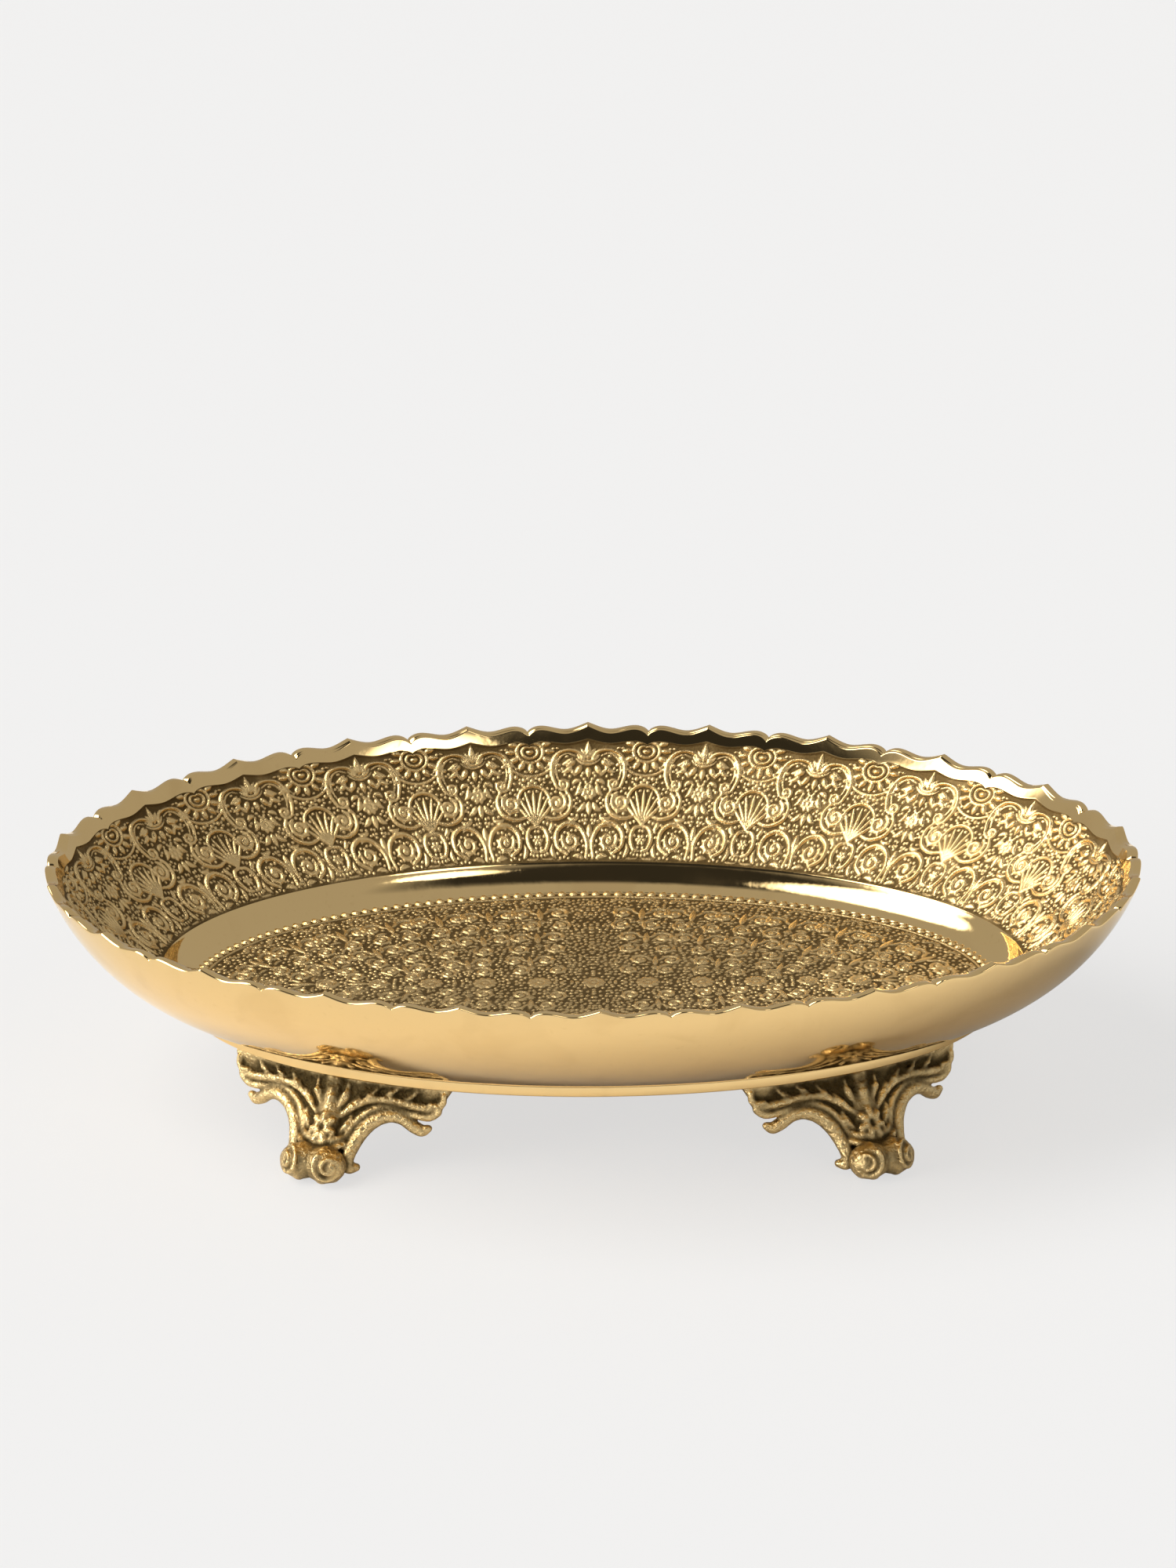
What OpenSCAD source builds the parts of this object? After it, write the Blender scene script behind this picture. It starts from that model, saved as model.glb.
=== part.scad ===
// Oval footed brass tray: a cast bowl with a scalloped rim, a base ring brazed under its floor,
// and four cast scroll feet, each held to the ring by two slotted screws with washers.
// Millimetres, +Z up, the origin on the table under the middle of the oval, +X along its length,
// -Y towards the front. Every oval keeps the same difference between half length and half width.

/* [Tray] */
// Length over the points of the rim
tray_length = 360; // [340:2:380]
// Half length less half width, at every level
side_inset = 61; // [54:1:64]
// Height of the rim's points above the table
rim_height = 82; // [80:1:86]
// Thickness of the metal at the rim
rim_thick = 3; // [2.4:0.1:3.6]

/* [Rim scallops] */
// Number of scallops, each from one point to the next
scallops = 22; // [18:2:26]
// How far the points stand out beyond the notches
scallop_depth = 1.2; // [0.4:0.2:2.4]
// How much higher the points are than the notches
scallop_rise = 2.8; // [1:0.2:4]
// Height of the band of wall that the scallops ripple
ripple_height = 10; // [8:1:12]

/* [Wall and floor] */
// Radius of the outer wall's curve, seen in section
wall_radius = 75; // [72:1:85]
// Half length of the ledge where the wall's ornament ends
ledge_half = 143; // [138:1:146]
// Height of that ledge above the table
ledge_height = 44; // [42:1:47]
// Half length of the floor
floor_half = 134; // [131:0.5:135]
// Thickness of the floor
floor_thick = 2.5; // [2.2:0.1:3]

/* [Base ring] */
// Half length of the ring's outer edge
ring_half = 134; // [133:0.5:135]
// Width of the ring
ring_width = 24; // [22:1:28]
// Thickness of the ring
ring_thick = 3.8; // [3.4:0.1:4.4]

/* [Feet] */
// Height of a foot, from the table to the ring
foot_height = 30; // [28:0.5:32]
// Place of the front right foot round the oval, in degrees from the front
foot_angle = 39.5; // [36:0.5:44]
// Half of a foot's span along the ring
foot_span = 38; // [35:0.5:41]
// Thickness of a foot's scroll plate
foot_thick = 5; // [4:0.5:6]
// How far the toe stands out beyond the plate
toe_reach = 17; // [12:0.5:20]
// Radius of the toe's two scrolls
toe_radius = 7; // [6:0.5:7.5]

/* [Screws] */
// Diameter of the screws
screw_d = 4; // [3:0.5:5]
// Distance between a foot's two screws
screw_pitch = 30; // [26:1:34]

/* [Hidden] */

brass = [0.83, 0.66, 0.38];
old_brass = [0.62, 0.50, 0.26];
screw_brass = [0.74, 0.60, 0.34];

rim_half = tray_length / 2;
ring_top = foot_height + ring_thick;
floor_top = ring_top + floor_thick;

// A shadow groove runs between the ring and the bowl's wall.
groove_depth = 1;
groove_height = 0.8;
wall_foot = [ring_half + groove_depth, ring_top + groove_height];

// The outer wall is an arc from its foot to the rim; this is the arc's centre.
wall_top = [rim_half, rim_height];
chord_mid = (wall_foot + wall_top) / 2;
chord = wall_top - wall_foot;
chord_across = [-chord[1], chord[0]] / norm(chord);
wall_centre = chord_mid + chord_across * sqrt(pow(wall_radius, 2) - pow(norm(chord) / 2, 2));

function wall_half(z) = wall_centre[0] + sqrt(pow(wall_radius, 2) - pow(z - wall_centre[1], 2));

// The inner wall bows out a little between the rim and the ledge.
inner_top = [rim_half - rim_thick, rim_height];
inner_bow = 3.2;
function inner_half(z) =
    let (share = (z - ledge_height) / (inner_top[1] - ledge_height))
    ledge_half + (inner_top[0] - ledge_half) * share + 4 * inner_bow * share * (1 - share);

// Points of one scallop: place within it, and how far out the rim reaches there, from 0 to 1
SCALLOP = [[0, 1], [0.18, 0.25], [0.38, 0.68], [0.5, 0], [0.62, 0.68], [0.82, 0.25]];

// Rims of equal scallops need equal lengths of oval, so this table gives the oval's angle
// for a length run round it, from the middle of the back.
table_step = 2;
function oval(half, angle) = [half * cos(angle), (half - side_inset) * sin(angle)];
function table_angle(i) = 90 + i * table_step;
function table_chord(i) = norm(oval(rim_half, table_angle(i)) - oval(rim_half, table_angle(i - 1)));
chords = [for (i = [1:360 / table_step]) table_chord(i)];
ones = [for (c = chords) 1];
arc_table = [
    for (i = [0:len(chords)])
    [i == 0 ? 0 : [for (k = [0:len(chords) - 1]) k < i ? chords[k] : 0] * ones, table_angle(i)]
];
rim_run = arc_table[len(chords)][0];
rim_angles = [
    for (k = [0:scallops - 1])
    for (s = SCALLOP)
    lookup((k + s[0]) / scallops * rim_run, arc_table)
];
rim_reach = [for (k = [0:scallops - 1]) for (s = SCALLOP) s[1]];
ring_points = len(rim_angles);

// A level of the bowl: half length, height, and how strongly the scallops show there
function level(half, z, ripple) = [
    for (i = [0:ring_points - 1])
    let (
        back = scallop_depth * ripple * (1 - rim_reach[i]),
        point = oval(half - back, rim_angles[i])
    )
    [point[0], point[1], z - scallop_rise * ripple * (1 - rim_reach[i])]
];

ripple_foot = rim_height - ripple_height;
outer_levels = [
    level(ring_half - groove_depth, ring_top, 0),
    level(wall_foot[0], wall_foot[1], 0),
    for (share = [0.07, 0.2, 0.4, 0.65])
        let (z = wall_foot[1] + share * (ripple_foot - wall_foot[1]))
        level(wall_half(z), z, 0),
    level(wall_half(ripple_foot), ripple_foot, 0),
    level(wall_half(rim_height - ripple_height / 2), rim_height - ripple_height / 2, 0.5),
    level(rim_half, rim_height, 1)
];
inner_levels = [
    level(rim_half - rim_thick, rim_height, 1),
    level(inner_half(rim_height - ripple_height / 2), rim_height - ripple_height / 2, 0.5),
    level(inner_half(ripple_foot), ripple_foot, 0),
    for (share = [0.66, 0.33])
        let (z = ledge_height + share * (ripple_foot - ledge_height))
        level(inner_half(z), z, 0),
    level(ledge_half, ledge_height, 0),
    level(floor_half + 3, (ledge_height + floor_top) / 2 - 1, 0),
    level(floor_half, floor_top, 0)
];
bowl_levels = concat(outer_levels, inner_levels);

module tray_body() {
    last = len(bowl_levels) - 1;
    sides = [
        for (i = [0:last - 1])
        for (k = [0:ring_points - 1])
        let (
            a = i * ring_points + k,
            b = i * ring_points + (k + 1) % ring_points,
            c = b + ring_points,
            d = a + ring_points
        )
        each [[a, c, b], [a, d, c]]
    ];
    underside = [for (k = [0:ring_points - 1]) k];
    top_side = [for (k = [ring_points - 1:-1:0]) last * ring_points + k];
    color(brass)
    polyhedron(
        points = [for (ring = bowl_levels) each ring],
        faces = concat([underside], sides, [top_side]),
        convexity = 8
    );
}

// Flat outline of an oval, with a corner at each corner of the bowl's levels
module oval_plate(half) {
    polygon([for (angle = rim_angles) oval(half, angle)]);
}

// Where a foot stands on the ring's edge, and which way it faces
foot_edge = ring_half - 1.5;
foot_place = oval(foot_edge, foot_angle - 90);
foot_turn = atan2(
    (foot_edge - side_inset) * cos(foot_angle - 90),
    -foot_edge * sin(foot_angle - 90)
);
screw_inset = 13.5;
washer_thick = 0.8;
lug_thick = 3;
tapped_r = screw_d / 2;
clearance_r = screw_d / 2 + 0.25;

module at_foot() {
    translate([foot_place[0], foot_place[1], 0])
    rotate([0, 0, foot_turn])
    children();
}

module for_screws() {
    for (side = [-1, 1])
        at_foot() translate([side * screw_pitch / 2, screw_inset, 0]) children();
}

module to_corner(right, front) {
    mirror([right ? 0 : 1, 0, 0]) mirror([0, front ? 0 : 1, 0]) children();
}

module base_ring() {
    color(brass)
    translate([0, 0, foot_height])
    difference() {
        linear_extrude(height = ring_thick) oval_plate(ring_half);
        translate([0, 0, -1]) linear_extrude(height = ring_thick + 2) oval_plate(ring_half - ring_width);
        for (right = [false, true])
            for (front = [false, true])
                to_corner(right, front)
                for_screws()
                translate([0, 0, -1]) cylinder(r = tapped_r, h = ring_thick + 2, $fn = 32);
    }
}

// Half outline of the scroll plate, from the middle of its top: distance along the ring, and
// depth below it. The wing's leaf, its curl, the arch, the side of the leg and the heel curl
// follow each other.
PLATE_SIDE = [
    [0, 0], [1, 0], [1.01, 0.1], [0.93, 0.25], [0.87, 0.3], [0.84, 0.43], [0.75, 0.5],
    [0.7, 0.4], [0.6, 0.36], [0.48, 0.38], [0.37, 0.46], [0.31, 0.58], [0.29, 0.7],
    [0.32, 0.78], [0.24, 0.84], [0, 0.84]
];

module plate_outline() {
    for (side = [0, 1])
        mirror([side, 0])
        polygon([for (p = PLATE_SIDE) [p[0] * foot_span, foot_height * (1 - p[1])]]);
}

// The leg leans out from the plate to the toe.
leg_top = [0, 1, foot_height * 0.8];
toe_height = toe_radius - 0.5;
toe_centre = [0, -toe_reach, toe_height];
leg_run = leg_top - toe_centre;
leg_lean = atan2(-leg_run[1], leg_run[2]);
leg_foot_r = 6;
leg_top_r = 8.5;
scroll_offset = 3.2;

module leg() {
    intersection() {
        translate(toe_centre)
        rotate([leg_lean, 0, 0])
        cylinder(r1 = leg_foot_r, r2 = leg_top_r, h = norm(leg_run), $fn = 48);
        translate([-20, -40, 0]) cube([40, 40 + foot_thick, foot_height]);
    }
}

module toe() {
    intersection() {
        for (side = [-1, 1])
            translate(toe_centre + [side * scroll_offset, 0, 0]) sphere(r = toe_radius, $fn = 48);
        translate([-20, -40, 0]) cube([40, 80, foot_height]);
    }
}

module scroll_plate() {
    intersection() {
        linear_extrude(height = foot_height)
        difference() {
            oval_plate(foot_edge);
            oval_plate(foot_edge - foot_thick);
        }
        at_foot()
        rotate([90, 0, 0])
        translate([0, 0, -30])
        linear_extrude(height = 60) plate_outline();
    }
}

// The lug lies against the ring and takes the screws.
module lug() {
    lug_half = screw_pitch / 2 + 7;
    intersection() {
        translate([0, 0, foot_height - lug_thick])
        linear_extrude(height = lug_thick)
        difference() {
            oval_plate(foot_edge - 1);
            oval_plate(ring_half - ring_width + 2);
        }
        at_foot() translate([-lug_half, -5, 0]) cube([2 * lug_half, 40, foot_height]);
    }
}

// The front right foot; the others are its mirror images.
module scroll_foot() {
    difference() {
        union() {
            scroll_plate();
            lug();
            at_foot() {
                leg();
                toe();
            }
        }
        for_screws()
            translate([0, 0, foot_height - lug_thick - 1])
            cylinder(r = clearance_r, h = lug_thick + 2, $fn = 32);
    }
}

module foot(right, front) {
    color(old_brass) to_corner(right, front) scroll_foot();
}

// Slotted pan head screw, head down, its end just short of the bowl's floor
head_r = screw_d;
head_high = 2.6;
slot_wide = 1.1;
slot_deep = 1.3;
screw_reach = washer_thick + lug_thick + ring_thick - 0.1;
washer_r = head_r + 0.6;

module screw(right, front, side) {
    color(screw_brass)
    to_corner(right, front)
    at_foot()
    translate([side * screw_pitch / 2, screw_inset, foot_height - lug_thick - washer_thick])
    difference() {
        union() {
            cylinder(r = screw_d / 2, h = screw_reach, $fn = 32);
            translate([0, 0, -head_high]) cylinder(r = head_r, h = head_high, $fn = 48);
        }
        translate([-head_r - 1, -slot_wide / 2, -head_high - 1])
            cube([2 * head_r + 2, slot_wide, slot_deep + 1]);
    }
}

module washer(right, front, side) {
    color(screw_brass)
    to_corner(right, front)
    at_foot()
    translate([side * screw_pitch / 2, screw_inset, foot_height - lug_thick - washer_thick])
    difference() {
        cylinder(r = washer_r, h = washer_thick, $fn = 48);
        translate([0, 0, -1]) cylinder(r = clearance_r, h = washer_thick + 2, $fn = 32);
    }
}

tray_body();
base_ring();
foot(false, true);  // foot_front_left
foot(true, true);  // foot_front_right
foot(false, false);  // foot_rear_left
foot(true, false);  // foot_rear_right
screw(false, true, 1);  // screw_front_left_outer
screw(false, true, -1);  // screw_front_left_inner
screw(true, true, 1);  // screw_front_right_outer
screw(true, true, -1);  // screw_front_right_inner
screw(false, false, 1);  // screw_rear_left_outer
screw(false, false, -1);  // screw_rear_left_inner
screw(true, false, 1);  // screw_rear_right_outer
screw(true, false, -1);  // screw_rear_right_inner
washer(false, true, 1);  // washer_front_left_outer
washer(false, true, -1);  // washer_front_left_inner
washer(true, true, 1);  // washer_front_right_outer
washer(true, true, -1);  // washer_front_right_inner
washer(false, false, 1);  // washer_rear_left_outer
washer(false, false, -1);  // washer_rear_left_inner
washer(true, false, 1);  // washer_rear_right_outer
washer(true, false, -1);  // washer_rear_right_inner
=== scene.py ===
# %% [markdown]
# # An oval brass tray on scroll feet
# The tray is cast brass: one bowl with a scalloped rim, a ring under its floor, and four scroll feet
# held by screws. Its outside is buffed like a mirror and its inside is covered with chased relief,
# whose hollows have gone brown. This lesson builds the bowl and the feet as real geometry, because
# a mirror finish shows every facet and raking light shows every relief that is only painted on.

# %% Load the frame
import math

import bpy
import numpy as np
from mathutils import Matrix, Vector, noise


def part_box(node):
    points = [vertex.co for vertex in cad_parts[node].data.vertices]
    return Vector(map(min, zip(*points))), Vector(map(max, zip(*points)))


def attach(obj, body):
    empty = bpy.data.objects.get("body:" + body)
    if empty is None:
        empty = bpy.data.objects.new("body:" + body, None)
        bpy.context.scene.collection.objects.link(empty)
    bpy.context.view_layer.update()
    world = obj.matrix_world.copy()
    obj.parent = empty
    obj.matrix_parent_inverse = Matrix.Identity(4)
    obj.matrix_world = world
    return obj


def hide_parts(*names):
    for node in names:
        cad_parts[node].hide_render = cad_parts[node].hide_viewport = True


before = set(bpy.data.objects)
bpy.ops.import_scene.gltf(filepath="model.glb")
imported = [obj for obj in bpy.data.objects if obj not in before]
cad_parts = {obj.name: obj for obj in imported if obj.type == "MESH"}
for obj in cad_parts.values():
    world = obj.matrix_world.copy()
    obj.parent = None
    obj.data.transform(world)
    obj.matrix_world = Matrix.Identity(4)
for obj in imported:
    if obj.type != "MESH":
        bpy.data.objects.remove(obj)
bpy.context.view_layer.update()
MM = 0.001


def millimetres(node):
    low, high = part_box(node)
    return np.array(low) / MM, np.array(high) / MM


tray_low, tray_high = millimetres("tray_body")
ring_low, ring_high = millimetres("base_ring")
print("tray from", tray_low.round(1), "to", tray_high.round(1))
print("ring from", ring_low.round(1), "to", ring_high.round(1))

# %% [markdown]
# ## The oval
# Every level of the tray is an oval whose half width is a fixed amount less than its half length.
# So one number, the half length, places a level, and moving a level in by a millimetre moves it in
# by a millimetre all round. The scallops are equal in length round the rim, so the angles that the
# rim's points sit at come from walking along the oval and marking off equal steps.

# %% Ovals and equal steps round the rim
RIM_HALF = 180.0
SIDE_INSET = 61.0
SCALLOPS = 22
STEPS_PER_SCALLOP = 108
AROUND = SCALLOPS * STEPS_PER_SCALLOP


def oval(half, angle):
    return half * np.cos(angle), (half - SIDE_INSET) * np.sin(angle)


def equal_steps(half, count):
    """Angles of count points that lie equally far apart along an oval, from the middle of the back."""
    fine = math.pi / 2 + np.linspace(0, 2 * math.pi, 20001)
    x, y = oval(half, fine)
    run = np.concatenate([[0], np.cumsum(np.hypot(np.diff(x), np.diff(y)))])
    return np.interp(np.arange(count) / count * run[-1], run, fine)


around = equal_steps(RIM_HALF, AROUND)
place_in_scallop = (np.arange(AROUND) / STEPS_PER_SCALLOP + 0.5) % 1 - 0.5
print("points round the rim:", AROUND)

# %% [markdown]
# ## The scallop
# Each scallop has a pointed tip, a shallow valley on each side of it, a round lobe and then a sharp
# notch. A formula for each stretch keeps the tip and the notch crisp and the rest smooth.

# %% Outline of a scallop
VALLEY_AT, VALLEY_REACH = 0.19, 0.2
LOBE_AT, LOBE_REACH = 0.39, 0.66
SCALLOP_RISE = 2.8
RIPPLE_HEIGHT = 10.0


def smooth(t):
    t = np.clip(t, 0, 1)
    return t * t * (3 - 2 * t)


def scallop_reach(place):
    """How far out the rim reaches, from 0 at a notch to 1 at a tip."""
    u = np.abs(place)
    to_valley = np.clip(u / VALLEY_AT, 0, 1)
    tip = VALLEY_REACH + (1 - VALLEY_REACH) * (1 - to_valley) ** 2 * (1 + 0.7 * to_valley)
    rise = VALLEY_REACH + (LOBE_REACH - VALLEY_REACH) * smooth((u - VALLEY_AT) / (LOBE_AT - VALLEY_AT))
    fall = LOBE_REACH * (1 - np.clip((u - LOBE_AT) / (0.5 - LOBE_AT), 0, 1) ** 2) ** 0.75
    return np.where(u < VALLEY_AT, tip, np.where(u < LOBE_AT, rise, fall))


reach = scallop_reach(place_in_scallop)
print("scallop reach:", reach.min().round(2), "to", reach.max().round(2))

# %% [markdown]
# ## The camera and the stage
# The camera looks down at the tray a little to one side of square on, with a long lens. The tray
# stands on a pale sweep of paper. A tall soft window stands on the left with a lower one beneath it,
# and a small lamp hangs in front on the right. Between them is a dark patch of ceiling, because a
# mirror finish is only as good as what it reflects. All four are painted into the sky. The paper
# that the camera sees is mixed with a pale glow, which makes the shadows on it fainter.

# %% Camera
RIM_CENTRE = Vector((0, 0, tray_high[2])) * MM
CAMERA_DISTANCE = 7.8 * RIM_HALF * MM
CAMERA_HEIGHT = math.radians(23.5)
CAMERA_TURN = math.radians(-91)
LENS = 98.3

camera = bpy.data.objects.new("camera", bpy.data.cameras.new("camera"))
bpy.context.scene.collection.objects.link(camera)
bpy.context.scene.camera = camera
towards_camera = Vector((
    math.cos(CAMERA_HEIGHT) * math.cos(CAMERA_TURN),
    math.cos(CAMERA_HEIGHT) * math.sin(CAMERA_TURN),
    math.sin(CAMERA_HEIGHT),
))
camera.location = RIM_CENTRE + towards_camera * CAMERA_DISTANCE
camera.rotation_euler = towards_camera.to_track_quat("Z", "Y").to_euler()
camera.data.sensor_fit = "VERTICAL"
camera.data.sensor_height = 36
camera.data.lens = LENS
camera.data.shift_x = -0.0037
camera.data.shift_y = 0.0455
print("camera at", [round(c, 3) for c in camera.location])


# %% Helpers for nodes
def new_tree(owner):
    owner.use_nodes = True
    owner.node_tree.nodes.clear()
    return owner.node_tree


def add(tree, kind, settings=None, **inputs):
    """Adds a node. settings are its own properties, and inputs are numbers or other nodes' outputs."""
    made = tree.nodes.new(kind)
    for name, value in (settings or {}).items():
        setattr(made, name, value)
    for name, value in inputs.items():
        key = int(name[1:]) if name[0] == "i" and name[1:].isdigit() else name.replace("_", " ")
        if isinstance(value, bpy.types.NodeSocket):
            tree.links.new(value, made.inputs[key])
        else:
            made.inputs[key].default_value = value
    return made


def maths(tree, operation, *values):
    named = {f"i{n}": value for n, value in enumerate(values)}
    return add(tree, "ShaderNodeMath", {"operation": operation}, **named).outputs[0]


def ramp(tree, value, low, high, to_low=0.0, to_high=1.0):
    """A smooth step from to_low to to_high as value goes from low to high."""
    made = add(
        tree, "ShaderNodeMapRange", {"interpolation_type": "SMOOTHSTEP"},
        Value=value, From_Min=low, From_Max=high, To_Min=to_low, To_Max=to_high,
    )
    return made.outputs[0]


# %% Sky with its soft lights
world = bpy.data.worlds.new("studio")
bpy.context.scene.world = world
sky = new_tree(world)
looking = add(sky, "ShaderNodeTexCoord").outputs["Generated"]


def sky_patch(turn, height, inner, outer, strength):
    """A round patch in the sky, fading between two angles. All angles are in degrees."""
    turn, height = math.radians(turn), math.radians(height)
    aim = (math.cos(height) * math.cos(turn), math.cos(height) * math.sin(turn), math.sin(height))
    facing = add(sky, "ShaderNodeVectorMath", {"operation": "DOT_PRODUCT"}, i0=looking, i1=aim)
    return ramp(
        sky, facing.outputs["Value"], math.cos(math.radians(outer)), math.cos(math.radians(inner)),
        0.0, strength,
    )


SKY_LEVEL = 0.43
window = sky_patch(-170, 52, 17, 26, 5.2)
low_window = sky_patch(-160, 17, 10, 24, 6.4)
small_lamp = sky_patch(-63, 44, 5.5, 9, 3.4)
dark_ceiling = sky_patch(-106, 59, 22, 36, -0.93)
level = maths(sky, "MULTIPLY_ADD", dark_ceiling, SKY_LEVEL, SKY_LEVEL)
for light in (window, low_window, small_lamp):
    level = maths(sky, "ADD", level, light)
background = add(sky, "ShaderNodeBackground", Strength=level)
background.inputs["Color"].default_value = (1.0, 0.985, 0.965, 1)
sky_out = add(sky, "ShaderNodeOutputWorld")
sky.links.new(background.outputs[0], sky_out.inputs["Surface"])
bpy.context.scene.view_settings.view_transform = "Standard"
print("sky painted")

# %% Paper floor
PAPER = 0.80
PAPER_TOOTH = PAPER * 1.01
SHADOW_LIFT = 0.76
floor_mesh = bpy.data.meshes.new("paper_floor")
side = 14.0
paper_corners = [(-side, -side, 0), (side, -side, 0), (side, side, 0), (-side, side, 0)]
floor_mesh.from_pydata(paper_corners, [], [(0, 1, 2, 3)])
paper_floor = bpy.data.objects.new("paper_floor", floor_mesh)
bpy.context.scene.collection.objects.link(paper_floor)
paper = bpy.data.materials.new("paper")
tree = new_tree(paper)
tooth = add(tree, "ShaderNodeTexNoise", Scale=900.0, Detail=2.0)
shade = add(
    tree, "ShaderNodeMix", {"data_type": "RGBA"}, i0=tooth.outputs[0],
    i6=(PAPER, PAPER, PAPER, 1), i7=(PAPER_TOOTH, PAPER_TOOTH, PAPER_TOOTH, 1),
)
surface = add(tree, "ShaderNodeBsdfPrincipled", Base_Color=shade.outputs[2], Roughness=0.8)
surface.inputs["Specular IOR Level"].default_value = 0.2
glow = add(tree, "ShaderNodeEmission", Color=(0.875, 0.872, 0.868, 1))
seen = add(tree, "ShaderNodeLightPath").outputs["Is Camera Ray"]
lifted = maths(tree, "MULTIPLY", seen, SHADOW_LIFT)
lift = add(tree, "ShaderNodeMixShader", i0=lifted, i1=surface.outputs[0], i2=glow.outputs[0])
out = add(tree, "ShaderNodeOutputMaterial")
tree.links.new(lift.outputs[0], out.inputs["Surface"])
floor_mesh.materials.append(paper)
print("floor laid")

# %% [markdown]
# ## Chasing tools
# A chaser raises a pattern with a few punches: lines, drops, petals, beads and spirals. Here each
# of them is a chain of round stamps, and every stamp raises a small dome on a grid of heights. A
# stamp keeps the higher of itself and what is there, so that strokes run into each other as they
# do in metal. One half of a scallop is drawn and mirrored, because the pattern repeats.


# %% Curves
def through(points, steps=60):
    """A smooth curve through points, with the same number of steps between each pair."""
    points = np.array(points, float)
    ends = np.vstack([2 * points[0] - points[1], points, 2 * points[-1] - points[-2]])
    t = np.linspace(0, 1, max(4, steps // (len(points) - 1)), endpoint=False)[:, None]
    parts = []
    for a, b, c, d in zip(ends, ends[1:], ends[2:], ends[3:]):
        parts.append(0.5 * (2 * b + (c - a) * t + (2 * a - 5 * b + 4 * c - d) * t ** 2
                            + (3 * b - a - 3 * c + d) * t ** 3))
    return np.vstack(parts + [points[-1:]])


def spiral(centre, outer, inner, turns, start, hand=1):
    """A curve that winds inward. start is in degrees, and hand is 1 or -1."""
    t = np.linspace(0, 1, max(12, int(turns * outer * 22)))
    angle = math.radians(start) + hand * turns * 2 * math.pi * t
    radius = outer + (inner - outer) * t ** 0.8
    return np.column_stack([centre[0] + radius * np.cos(angle), centre[1] + radius * np.sin(angle)])


def arc(centre, radius, start, end):
    angle = np.radians(np.linspace(start, end, max(8, int(abs(end - start) * radius * 0.09))))
    return np.column_stack([centre[0] + radius * np.cos(angle), centre[1] + radius * np.sin(angle)])


# %% Strokes made of stamps
def stroke(curve, width=0.5, height=0.6, taper=0.45):
    """A rounded line. Its width falls towards both ends by the share that taper gives."""
    t = np.linspace(0, 1, len(curve))
    thick = width * (1 - taper * (2 * t - 1) ** 2)
    return np.column_stack([curve, thick, np.full(len(curve), height) * (thick / width)])


def drop(start, end, width, height=0.55, bend=0.0):
    """A leaf or drop, thickest a third of the way along, that bends to one side."""
    start, end = np.array(start, float), np.array(end, float)
    across = np.array([start[1] - end[1], end[0] - start[0]])
    t = np.linspace(0, 1, 14)[:, None]
    curve = start + (end - start) * t + across * bend * 4 * t * (1 - t)
    thick = width * np.sin(math.pi * np.clip(t[:, 0], 0.04, 0.97) ** 0.65)
    return np.column_stack([curve, thick, height * (thick / width) ** 0.5])


def bead(centre, radius, height=0.6):
    return np.array([[centre[0], centre[1], radius, height]])


def petals(centre, inner, outer, angles, width, height=0.55):
    parts = []
    for angle in np.radians(angles):
        way = np.array([math.cos(angle), math.sin(angle)])
        parts.append(drop(centre + way * inner, centre + way * outer, width, height))
    return np.vstack(parts)


def rosette(centre, radius, count=6, turn=0):
    centre = np.array(centre, float)
    angles = turn + np.arange(count) * 360 / count
    eye = bead(centre, radius * 0.3, 0.65)
    return np.vstack([eye, petals(centre, radius * 0.42, radius, angles, radius * 0.3)])


def leafy_scroll(centre, radius, turns, start, hand, leaves=5, width=0.6):
    """A spiral with a bead at its eye, a fine line inside its edge and leaves along its outside."""
    centre = np.array(centre, float)
    line = spiral(centre, radius, radius * 0.22, turns, start, hand)
    inside = spiral(centre, radius * 0.78, radius * 0.3, turns * 0.7, start, hand)
    parts = [
        stroke(line, width, 0.72, 0.3), stroke(inside, width * 0.42, 0.4, 0.3),
        bead(centre, radius * 0.24, 0.7),
    ]
    for k in range(leaves):
        at = line[int((0.04 + 0.5 * k / max(1, leaves)) * len(line))]
        out = (at - centre) / np.linalg.norm(at - centre)
        along = np.array([-out[1], out[0]]) * hand
        root = at + out * width * 0.6
        leaf_end = root + out * radius * 0.3 + along * radius * 0.28
        parts.append(drop(root, leaf_end, radius * 0.11, 0.5, 0.2 * hand))
    return np.vstack(parts)


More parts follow.
